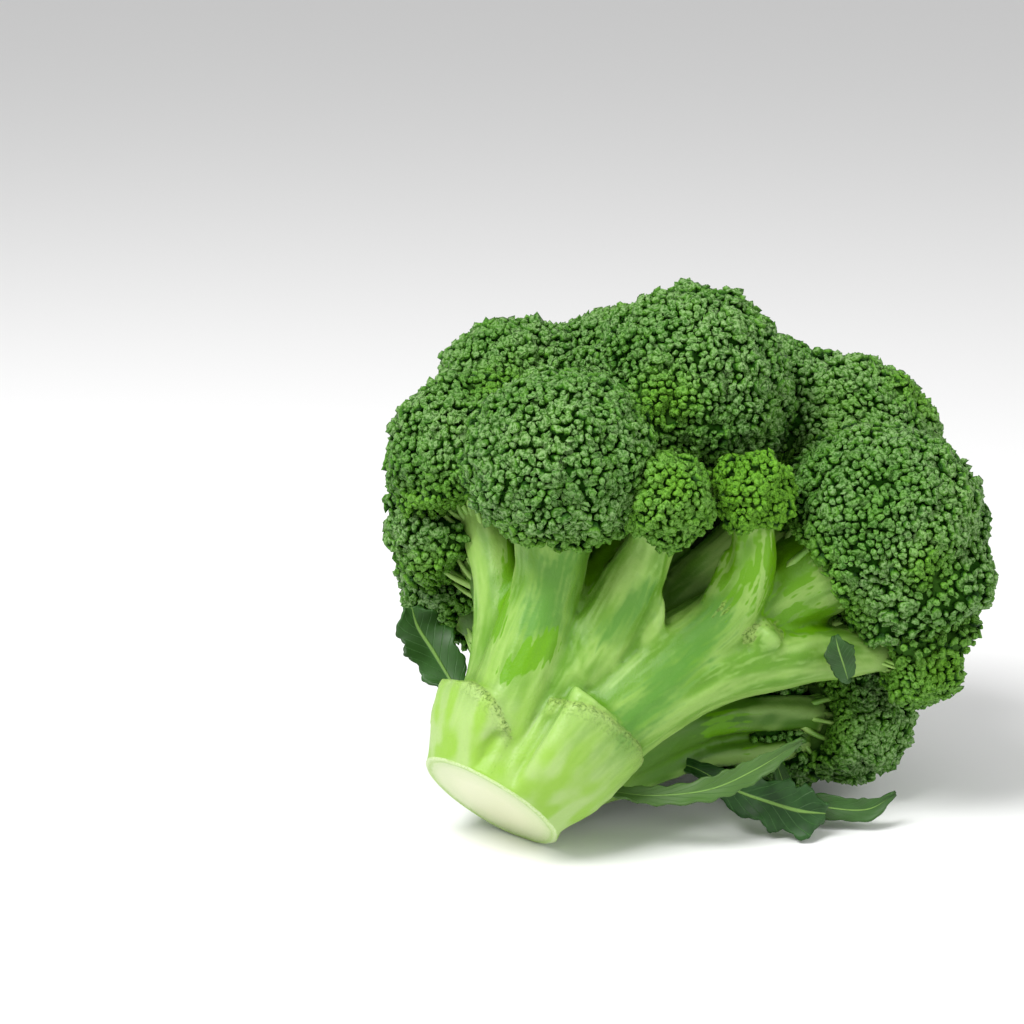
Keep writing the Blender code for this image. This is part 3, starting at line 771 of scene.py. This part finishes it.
YOUNG_FLORETS = {"floret_small_left": 0.55, "floret_small_right": 1.0, "floret_right_rim": 0.5}


def even_directions(count):
    """Unit vectors spread evenly over a sphere, along a golden spiral."""
    step = np.arange(count) + 0.5
    z = 1 - 2 * step / count
    flat = np.sqrt(1 - z * z)
    turn = GOLDEN_ANGLE * step
    return np.stack([flat * np.cos(turn), flat * np.sin(turn), z], axis=1)


def points_over(radius, spacing):
    return max(6, round(4 * math.pi * radius**2 / (EVEN_CELL * spacing**2)))


def crown_reach(floret, ways):
    """How far the crown's skin lies each way, where neighbouring domes swell into one another."""
    centre = np.array(floret["at"], float)
    alone = floret["r"] < SMALL
    joined = {
        name: other for name, other in FLORETS.items()
        if other is floret or (other["r"] > SMALL and not alone)
    }
    centres = np.array([other["at"] for other in joined.values()], float)
    radii = np.array([other["r"] - TRIM.get(name, 0) for name, other in joined.items()], float)
    inner = np.full(len(ways), BLEND_FLOOR * floret["r"])
    outer = np.full(len(ways), floret["r"] + BLEND_LIMIT)
    for _ in range(HALVINGS):
        middle = (inner + outer) / 2
        places = centre + ways * middle[:, None]
        gaps = np.linalg.norm(places[:, None] - centres[None], axis=2) - radii
        within = np.exp(-gaps / BLEND).sum(axis=1) > 1
        for *filler, radius in FILLERS:
            within |= np.linalg.norm(places - filler, axis=1) < radius
        inner = np.where(within, middle, inner)
        outer = np.where(within, outer, middle)
    return inner


def dome_reach(name, ways):
    """How far the skin lies from the floret's centre each way, what its neighbours leave of that,
    the same hollowed round the branch, and how far each way lies from straight down the branch."""
    floret = FLORETS[name]
    centre = np.array(floret["at"], float)
    far = crown_reach(floret, ways) - SKIN_SINK
    for number, (spacing, depth) in enumerate(MOUNDS):
        count = points_over(floret["r"], spacing)
        turn = Matrix.Rotation(centre.sum() + number, 3, Vector((1, 1, 0.3)).normalized())
        tops = even_directions(count) @ np.array(turn)
        near = np.arccos(np.clip((ways @ tops.T).max(axis=1), -1, 1))
        far -= depth * np.minimum(1, near / (0.6 * spacing / floret["r"])) ** 2
    growth = np.array(neck(floret)[1])
    under = np.arccos(np.clip(-(ways @ growth), -1, 1))
    held = far.copy()
    for other in FLORETS.values():
        across = np.array(other["at"], float) - centre
        apart = np.linalg.norm(across)
        if other is floret or apart > floret["r"] + other["r"] + 3:
            continue
        reach = (apart**2 + floret["r"] ** 2 - other["r"] ** 2) / (2 * apart) - GAP
        facing = np.maximum(ways @ (across / apart), 1e-6)
        held = np.minimum(held, reach / facing)
    opening = math.radians(OPEN_UNDERSIDES.get(name, OPEN_ANGLE))
    ease = np.minimum(1, under / opening) ** 3
    hollowed = np.minimum(held, far * (HOLLOW_FLOOR + (1 - HOLLOW_FLOOR) * ease))
    return far, held, hollowed, under


def bud_shape(name, sizes, lump, crown, seed):
    """A closed bud, an uneven pebble that stands half out of the skin, its middle more or less
    sunk."""
    bud = bmesh.new()
    bmesh.ops.create_uvsphere(bud, u_segments=6, v_segments=3, radius=1)
    tip = bud.verts.layers.float.new("tip")
    for vert in bud.verts:
        vert[tip] = 0.5 + 0.5 * vert.co.z
        if vert.co.z > 0.9:
            vert.co.z = crown
        vert.co *= 1 + lump * noise.noise(vert.co * 1.1 + Vector((seed * 7.3, 0, 0)))
        vert.co *= Vector(sizes)
    mesh = bpy.data.meshes.new(name)
    bud.to_mesh(mesh)
    bud.free()
    mesh.shade_smooth()
    return bpy.data.objects.new(name, mesh)


BUD_KINDS = (
    ("bud_round", (1.4, 1.25, 1.4), 0.7, 0.9), ("bud_long", (1.95, 1.0, 1.6), 0.8, 0.45),
    ("bud_tall", (1.2, 1.1, 1.9), 0.7, 0.95), ("bud_bent", (1.7, 1.2, 1.7), 1.1, 0.3),
    ("bud_small", (1.15, 1.0, 1.3), 0.7, 0.8), ("bud_cup", (1.5, 1.35, 1.6), 0.9, 0.25),
)
buds = bpy.data.collections.new("buds")
for number, (name, sizes, lump, crown) in enumerate(BUD_KINDS):
    buds.objects.link(bud_shape(name, sizes, lump, crown, number + 1))


def bud_planting_tree(core_material, bud_material):
    """Geometry Nodes: a bud on each point that is kept, turned and sized at random, and the core."""
    tree = bpy.data.node_groups.new("plant buds", "GeometryNodeTree")
    new_socket(tree, "Skin", "NodeSocketGeometry")
    new_socket(tree, "Buds", "NodeSocketCollection")
    new_socket(tree, "Seed", "NodeSocketInt")
    new_socket(tree, "Tilt", "NodeSocketFloat")
    new_socket(tree, "Sink", "NodeSocketFloat")
    new_socket(tree, "Head", "NodeSocketGeometry", into=False)
    given = node_set(tree, "NodeGroupInput")
    out = node_set(tree, "NodeGroupOutput")

    def named(name, kind="FLOAT"):
        return node_set(
            tree, "GeometryNodeInputNamedAttribute", data_type=kind, inputs={0: name}
        ).outputs[0]

    def drawn(low, high, offset, kind="FLOAT"):
        seed = maths(tree, "ADD", given.outputs["Seed"], float(offset))
        first, output = {"FLOAT": (2, 1), "FLOAT_VECTOR": (0, 0), "INT": (4, 2)}[kind]
        return node_set(
            tree, "FunctionNodeRandomValue", data_type=kind,
            inputs={first: low, first + 1: high, "Seed": seed},
        ).outputs[output]

    outward = named("outward", "FLOAT_VECTOR")
    facing = node_set(
        tree, "FunctionNodeAlignRotationToVector", axis="Z", inputs={"Vector": outward}
    ).outputs[0]
    lean = given.outputs["Tilt"]
    spread = node_set(tree, "ShaderNodeCombineXYZ", inputs={0: lean, 1: lean, 2: 1.0}).outputs[0]
    tilt = node_set(
        tree, "ShaderNodeVectorMath", operation="MULTIPLY",
        inputs={0: drawn((-1, -1, -3.14), (1, 1, 3.14), 1, "FLOAT_VECTOR"), 1: spread},
    ).outputs[0]
    swing = node_set(tree, "FunctionNodeEulerToRotation", inputs={0: tilt}).outputs[0]
    turned = node_set(
        tree, "FunctionNodeRotateRotation", rotation_space="LOCAL", inputs={0: facing, 1: swing}
    ).outputs[0]
    size = times(tree, drawn(0.75, 1.22, 2), named("size"))
    keep = node_set(
        tree, "FunctionNodeCompare", operation="GREATER_THAN", inputs={0: named("keep"), 1: 0.5}
    ).outputs[0]
    kinds = node_set(
        tree, "GeometryNodeCollectionInfo",
        inputs={"Collection": given.outputs["Buds"], "Separate Children": True, "Reset Children": True},
    ).outputs[0]
    planted = node_set(
        tree, "GeometryNodeInstanceOnPoints",
        inputs={
            "Points": given.outputs["Skin"], "Selection": keep,
            "Instance": kinds, "Pick Instance": True,
            "Instance Index": drawn(0, len(buds.objects) - 1, 3, "INT"),
            "Rotation": turned, "Scale": size,
        },
    ).outputs[0]
    tinted = node_set(
        tree, "GeometryNodeStoreNamedAttribute", data_type="FLOAT", domain="INSTANCE",
        inputs={"Geometry": planted, "Name": "tint", "Value": drawn(0.0, 1.0, 4)},
    ).outputs[0]
    whole = node_set(tree, "GeometryNodeRealizeInstances", inputs={0: tinted}).outputs[0]
    coloured = node_set(
        tree, "GeometryNodeSetMaterial", inputs={"Geometry": whole, "Material": bud_material}
    ).outputs[0]
    inward = node_set(
        tree, "ShaderNodeVectorMath", operation="SCALE",
        inputs={0: outward, "Scale": times(tree, given.outputs["Sink"], -1.0)},
    ).outputs[0]
    lowered = node_set(
        tree, "GeometryNodeSetPosition",
        inputs={"Geometry": given.outputs["Skin"], "Offset": inward},
    ).outputs[0]
    core = node_set(
        tree, "GeometryNodeSetMaterial", inputs={"Geometry": lowered, "Material": core_material}
    ).outputs[0]
    joined = node_set(tree, "GeometryNodeJoinGeometry")
    tree.links.new(core, joined.inputs[0])
    tree.links.new(coloured, joined.inputs[0])
    tree.links.new(joined.outputs[0], out.inputs[0])
    return tree


# bud colours: the darkest green is painted shade, and the grey is the buds' waxy bloom and partly a
# painted highlight on their tops
BUD_SHADE = (0.006, 0.044, 0.0)
BUD_GREEN = (0.042, 0.16, 0.006)
BUD_FRESH = (0.08, 0.24, 0.012)
BUD_GREY = (0.22, 0.355, 0.14)
BUD_YOUNG = (0.13, 0.335, 0.012)

bud_green, tree, shader = new_material("buds", 0.5, Specular_IOR_Level=0.18)
tip = attribute_of(tree, "tip", "Fac")
tint = attribute_of(tree, "tint", "Fac")
young = attribute_of(tree, "young", "Fac")
bloom_and_highlight = attribute_of(tree, "bloom_and_highlight", "Fac")
spots = node_set(tree, "ShaderNodeTexCoord").outputs["Object"]
fleck = noise_at(tree, spots, 1300.0, 2.0)
side = mix(tree, tint, BUD_GREEN, BUD_FRESH)
# the tops of the buds take the grey: partly the buds' own waxy bloom, partly a painted highlight where
# light falls on them
top = times(tree, ramp(tree, tip, ((0.60, 0.0), (0.88, 1.0))), bloom_and_highlight)
top = times(tree, top, ramp(tree, fleck, ((0.38, 0.15), (0.58, 1.0))))
light = mix(tree, top, side, BUD_GREY)
light = mix(tree, times(tree, young, 0.8), light, BUD_YOUNG)
# painted shade: the sunk middle of each bud's tip is painted a darker green, as the shade in its cup
middle = times(tree, ramp(tree, tip, ((0.84, 0.0), (1.0, 1.0))), 0.55)
light = mix(tree, middle, light, BUD_GREEN)
# painted shade: dark flecks of the darkest green stand for the shade in creases of the crumpled buds
crease_shade = ramp(tree, fleck, ((0.36, 0.55), (0.50, 0.0)))
light = mix(tree, crease_shade, light, BUD_SHADE)
# painted shade: the lower part of each bud is painted the darkest green, as the shade under and between
# the buds
colour = mix(tree, ramp(tree, tip, ((0.40, 0.0), (0.70, 1.0))), BUD_SHADE, light)
tree.links.new(colour, shader.inputs["Base Color"])
roughen(tree, shader, fleck, 0.8, 0.0012)

# painted shade: the core under the buds is painted near-black green, the shade deep among the buds; it
# is paler on the bare underside round the branch and in young patches
core_green, tree, shader = new_material("under the buds", 0.8, Specular_IOR_Level=0.05)
paler_core = attribute_of(tree, "hollow", "Fac")
colour = mix(tree, paler_core, (0.010, 0.052, 0.002), (0.09, 0.20, 0.03))
tree.links.new(colour, shader.inputs["Base Color"])

planting = bud_planting_tree(core_green, bud_green)
socket_ids = {item.name: item.identifier for item in planting.interface.items_tree}


def kept_in_box(places):
    """Places in the growing frame, held back so that the buds on them stay in the CAD model's box."""
    turn = np.array(laid_turn.to_3x3())
    cut_centre = np.array(CUT_CENTRE) / MM
    low, high = (np.array(corner) / MM for corner in cad_box)
    held = np.clip(places @ turn.T + cut_centre, low + BUD_PROUD, high - BUD_PROUD)
    return (held - cut_centre) @ turn


def dress_floret(name, number):
    floret = FLORETS[name]
    centre = np.array(floret["at"], float)
    draw = np.random.default_rng(number + 1)
    ways = even_directions(points_over(floret["r"], BUD_SPACING))
    ways += draw.normal(0, BUD_JITTER * BUD_SPACING / floret["r"], ways.shape)
    ways /= np.linalg.norm(ways, axis=1)[:, None]
    far, walled, held, under = dome_reach(name, ways)
    opening = math.radians(OPEN_UNDERSIDES.get(name, OPEN_ANGLE))
    skin = centre + floret["r"] * ways
    uneven = np.array([noise.noise(Vector(place) / LUMP_SIZE) for place in skin])
    held += LUMP * uneven + draw.normal(0, BUD_JITTER, len(ways))
    dome = bmesh.new()
    for way in ways:
        dome.verts.new(way)
    bmesh.ops.convex_hull(dome, input=dome.verts)
    mesh = bpy.data.meshes.new(name)
    places = kept_in_box(centre + ways * held[:, None])
    for vert, place in zip(dome.verts, places):
        vert.co = place
    bmesh.ops.recalc_face_normals(dome, faces=dome.faces)
    dome.to_mesh(mesh)
    dome.free()
    normals = np.array([vert.normal for vert in mesh.vertices])
    outward = normals + 0.5 * ways
    outward /= np.linalg.norm(outward, axis=1)[:, None]
    spots = np.array(YOUNG_SPOTS, float)
    near = np.linalg.norm(places[:, None] - spots[None, :, :3], axis=2) / spots[:, 3]
    rim = np.clip(3 - 2 * under / opening, 0, 1)
    young = np.maximum(np.exp(-(near.min(axis=1) ** 2) * 1.4), 0.7 * rim)
    young = np.maximum(young, YOUNG_FLORETS.get(name, 0))
    wander = np.array([noise.noise(Vector(place) / PATCH_SIZE) for place in places])
    hanging = np.array([noise.noise(Vector(place) / RAGGED_SIZE) for place in places])
    keep = (far - walled < WALL_DEPTH) & (under > BUDS_FROM * (1 + 0.4 * hanging))
    for route in routes + stub_routes:
        keep &= gaps_to(route, places).min(axis=1) > STEM_GAP
    set_vectors(mesh, "outward", outward)
    set_values(mesh, "keep", keep)
    set_values(mesh, "young", np.clip(young + 0.35 * wander, 0, 1))
    # how much grey the bud tops take, bloom and partly painted highlight, less in young patches
    set_values(mesh, "bloom_and_highlight", np.clip(0.85 + 0.7 * wander, 0.15, 1) * (1 - 0.55 * young))
    set_values(mesh, "size", BUD_SCALE * (1 - 0.08 * young + 0.12 * wander))
    # how much paler the painted-shade core is: on the bare underside round the branch and in young
    # patches
    set_values(mesh, "hollow", np.maximum(0.6 * (under < BUDS_FROM), 0.35 * young))
    skin_obj = linked(name, mesh)
    plant = skin_obj.modifiers.new("buds", "NODES")
    plant.node_group = planting
    plant[socket_ids["Buds"]] = buds
    plant[socket_ids["Seed"]] = number
    plant[socket_ids["Tilt"]] = BUD_TILT
    plant[socket_ids["Sink"]] = CORE_SINK
    finished = plain_mesh(skin_obj)
    bpy.data.meshes.remove(mesh)
    finished.transform(laid)
    for vert in finished.vertices:
        vert.co = np.clip(vert.co, cad_box[0], cad_box[1])
    head = linked("buds_" + name.removeprefix("floret_"), finished)
    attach(head, "root")
    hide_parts(name)


for number, name in enumerate(FLORETS):
    dress_floret(name, number)
for bud in list(buds.objects):
    bpy.data.objects.remove(bud)

# The branchlets, thin pale stems that fan out from the end of each branch to the dome above it.
# They grow out of the branch and end among the buds.
BRANCHLETS_PER_FLORET = 26
TIP_SINK = 1.3
START_RING = 0.62
BRANCHLET_RADII = (1.2, 0.85, 0.6)
FULL_DOME = 24
fans = bpy.data.curves.new("branchlets", "CURVE")
fans.dimensions = "3D"
fans.bevel_depth = 1
fans.bevel_resolution = 1
fans.resolution_u = 4
fans.use_fill_caps = True
for number, (name, floret) in enumerate(FLORETS.items()):
    draw = np.random.default_rng(number + 50)
    opening = math.radians(OPEN_UNDERSIDES.get(name, OPEN_ANGLE))
    spread, growth = neck(floret)
    side = growth.cross(Vector((0.3, 0.5, 0.8))).normalized()
    other = growth.cross(side)
    start_ring = START_RING * SLIM_FLARES.get(name, FLARE) * floret["r"]
    for step in range(BRANCHLETS_PER_FLORET):
        heading = 2 * math.pi * (step + draw.uniform(-0.3, 0.3)) / BRANCHLETS_PER_FLORET
        lean = opening * draw.uniform(0.3, 0.95)
        outwards = side * math.cos(heading) + other * math.sin(heading)
        way = -growth * math.cos(lean) + outwards * math.sin(lean)
        held = dome_reach(name, np.array([way]))[2][0]
        tip_place = Vector(floret["at"]) + way * (held - TIP_SINK)
        root = spread + outwards * start_ring - growth * draw.uniform(0, 0.3) * floret["r"]
        middle = root.lerp(tip_place, 0.5) + outwards * 0.03 * floret["r"]
        spline = fans.splines.new("BEZIER")
        spline.bezier_points.add(2)
        for knot, place, radius in zip(
            spline.bezier_points, (root, middle, tip_place), BRANCHLET_RADII
        ):
            knot.co = place
            knot.radius = radius * draw.uniform(0.85, 1.2) * floret["r"] / FULL_DOME
            knot.handle_left_type = "AUTO"
            knot.handle_right_type = "AUTO"
branchlet_mesh = plain_mesh(linked("branchlets", fans))
bm = bmesh.new()
bm.from_mesh(branchlet_mesh)
bmesh.ops.remove_doubles(bm, verts=bm.verts, dist=1e-4)
bmesh.ops.recalc_face_normals(bm, faces=bm.faces)
bm.to_mesh(branchlet_mesh)
bm.free()
stemlet, tree, shader = new_material("branchlets", 0.45)
speckle = noise_at(tree, node_set(tree, "ShaderNodeTexCoord").outputs["Object"], 160.0, 3.0)
speckled = ramp(tree, speckle, ((0.35, 0.0), (0.7, 1.0)))
colour = mix(tree, speckled, (0.36, 0.58, 0.13), (0.18, 0.40, 0.05))
tree.links.new(colour, shader.inputs["Base Color"])
branchlet_mesh.materials.append(stemlet)
branchlet_mesh.shade_smooth()
branchlet_mesh.transform(laid)
branchlets = linked("branchlets", branchlet_mesh)
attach(branchlets, "root")
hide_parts("stalk")

# The leaves that were left on, thin waxy blades with a pale midrib and a toothed, waved edge. Each
# grows from the stalk or a branch, and its foot starts inside the skin there.
LEAVES = {
    "leaf_long": {
        "rib": ((24, -4, 17.5), (33, -7, 21.5), (43, -10, 29), (50, -12, 39), (56, -12, 51)),
        "wide": (1.5, 2.2, 2.8, 2.5, 0.5), "up": (0.25, -0.9, 0.35),
        "teeth": 9, "tooth": 0.13, "wave": 0.8, "pale": 0.75,
    },
    "leaf_broad": {
        "rib": ((40, 4, 36), (50, 2, 36), (58, -1, 37), (65, -3, 38.5), (71, -3, 41.5)),
        "wide": (1.6, 4.2, 5.6, 6.2, 2.4), "up": (0.3, -0.9, -0.25),
        "teeth": 4, "tooth": 0.16, "wave": 1.5, "pale": 0.0,
    },
    "leaf_curled": {
        "rib": ((56, 10, 50), (64, 8, 43.5), (72, 3, 45), (80, 0, 49), (84, -1, 56)),
        "wide": (1.4, 2.6, 3.1, 2.5, 0.4), "up": (0.2, -0.95, 0.1),
        "teeth": 3, "tooth": 0.10, "wave": 0.6, "pale": 0.25,
    },
    "leaf_left": {
        "rib": ((-18, 8, 20), (-24, 11, 24), (-31, 12, 28), (-37, 12, 31), (-41, 10, 34)),
        "wide": (1.6, 4.6, 6.2, 5.4, 1.8), "up": (-0.3, -0.9, 0.2),
        "teeth": 4, "tooth": 0.14, "wave": 1.0, "pale": 0.15,
    },
    "leaf_bract": {
        "rib": ((57, -21, 67.5), (54, -25, 68.5), (51, -27, 70.3), (48.5, -27.5, 72.8)),
        "wide": (1.2, 3.2, 3.3, 0.6), "up": (0.2, -0.9, -0.3),
        "teeth": 2, "tooth": 0.10, "wave": 0.4, "pale": 0.15,
    },
}
LEAF_STEPS = 60
FOOT_BACK = 3.0
FOOT_SINK = 1.2
TABLE_GAP = 0.9
FINE_TOOTH = 0.09
FINE_TEETH = 3.4
WAVES = 5
CUPPING = 0.18
VEINS = 9.0
VEIN_SLANT = 2.2
LEAF_COLUMNS = 20
LEAF_THICKNESS = 0.7
BLADE_DARK = (0.006, 0.036, 0.003)
BLADE_LIGHT = (0.020, 0.078, 0.012)
BLADE_PALE = (0.065, 0.14, 0.025)
RIB_PALE = (0.16, 0.30, 0.06)

blade, tree, shader = new_material("leaf blade", 0.5, Specular_IOR_Level=0.3)
across = attribute_of(tree, "across", "Fac")
along = attribute_of(tree, "along", "Fac")
beside = maths(tree, "ABSOLUTE", across)
mottled = noise_at(tree, node_set(tree, "ShaderNodeTexCoord").outputs["Object"], 120.0, 4.0)
colour = mix(tree, ramp(tree, mottled, ((0.35, 0.0), (0.65, 1.0))), BLADE_DARK, BLADE_LIGHT)
colour = mix(tree, attribute_of(tree, "pale", "Fac"), colour, BLADE_PALE)
slant = times(tree, beside, VEIN_SLANT)
rows = maths(tree, "SUBTRACT", times(tree, along, VEINS), slant)
veins = maths(tree, "ABSOLUTE", maths(tree, "SUBTRACT", maths(tree, "FRACT", rows), 0.5))
side_veins = ramp(tree, veins, ((0.0, 0.5), (0.07, 0.0)))
colour = mix(tree, side_veins, colour, (0.06, 0.16, 0.04))
midrib = ramp(tree, beside, ((0.04, 0.9), (0.11, 0.0)))
colour = mix(tree, midrib, colour, RIB_PALE)
tree.links.new(colour, shader.inputs["Base Color"])
relief = maths(tree, "SUBTRACT", midrib, times(tree, side_veins, 0.6))
roughen(tree, shader, relief, 0.6, 0.0005)

for name, leaf in LEAVES.items():
    root, onward = (Vector(row) for row in leaf["rib"][:2])
    start = laid @ (root - (onward - root).normalized() * FOOT_BACK)
    bark, outwards = stalk.closest_point_on_mesh(start)[1:3]
    foot = laid.inverted() @ (bark - outwards * FOOT_SINK * MM)
    foot_steps = LEAF_STEPS // (len(leaf["rib"]) - 1)
    last_step = foot_steps + LEAF_STEPS
    rib = [Vector(row) for row in smooth_route((tuple(foot), *leaf["rib"]), last_step + 1)]
    stations = np.linspace(0, 1, LEAF_STEPS + 1)
    widths = np.interp(stations, np.linspace(0, 1, len(leaf["wide"])), leaf["wide"])
    up = Vector(leaf["up"]).normalized()
    bm = bmesh.new()
    bmesh.ops.create_grid(bm, x_segments=LEAF_COLUMNS, y_segments=last_step, size=0.5)
    across_layer = bm.verts.layers.float.new("across")
    along_layer = bm.verts.layers.float.new("along")
    for vert in bm.verts:
        side_place = vert.co.x * 2
        step = round((vert.co.y + 0.5) * last_step)
        ahead = rib[min(step + 1, last_step)] - rib[max(step - 1, 0)]
        side = ahead.cross(up).normalized()
        blade_step = max(step - foot_steps, 0)
        station = blade_step / LEAF_STEPS
        vert[across_layer] = side_place
        vert[along_layer] = station
        tooth = 1 + leaf["tooth"] * math.sin(2 * math.pi * leaf["teeth"] * station)
        tooth += FINE_TOOTH * abs(math.sin(math.pi * FINE_TEETH * leaf["teeth"] * station))
        reach = widths[blade_step] * side_place * (1 + (tooth - 1) * abs(side_place) ** 3)
        wave = leaf["wave"] * side_place**2 * math.sin(WAVES * math.pi * station + side_place)
        vert.co = rib[step] + side * reach + up * (wave + CUPPING * abs(reach))
    for vert in bm.verts:
        sunk = vert.co.dot(down) - (REST_DEPTH - TABLE_GAP)
        if sunk > 0:
            vert.co -= sunk * down
    mesh = bpy.data.meshes.new(name)
    bm.to_mesh(mesh)
    bm.free()
    set_values(mesh, "pale", np.full(len(mesh.vertices), leaf["pale"]))
    mesh.materials.append(blade)
    mesh.transform(laid)
    sheet = linked(name + "_blade", mesh)
    solidify = sheet.modifiers.new("thickness", "SOLIDIFY")
    solidify.thickness = LEAF_THICKNESS * MM
    solidify.offset = 0
    finished = plain_mesh(sheet)
    bpy.data.meshes.remove(mesh)
    finished.shade_smooth()
    leaf_piece = linked(name + "_blade", finished)
    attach(leaf_piece, "root")
    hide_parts(name)
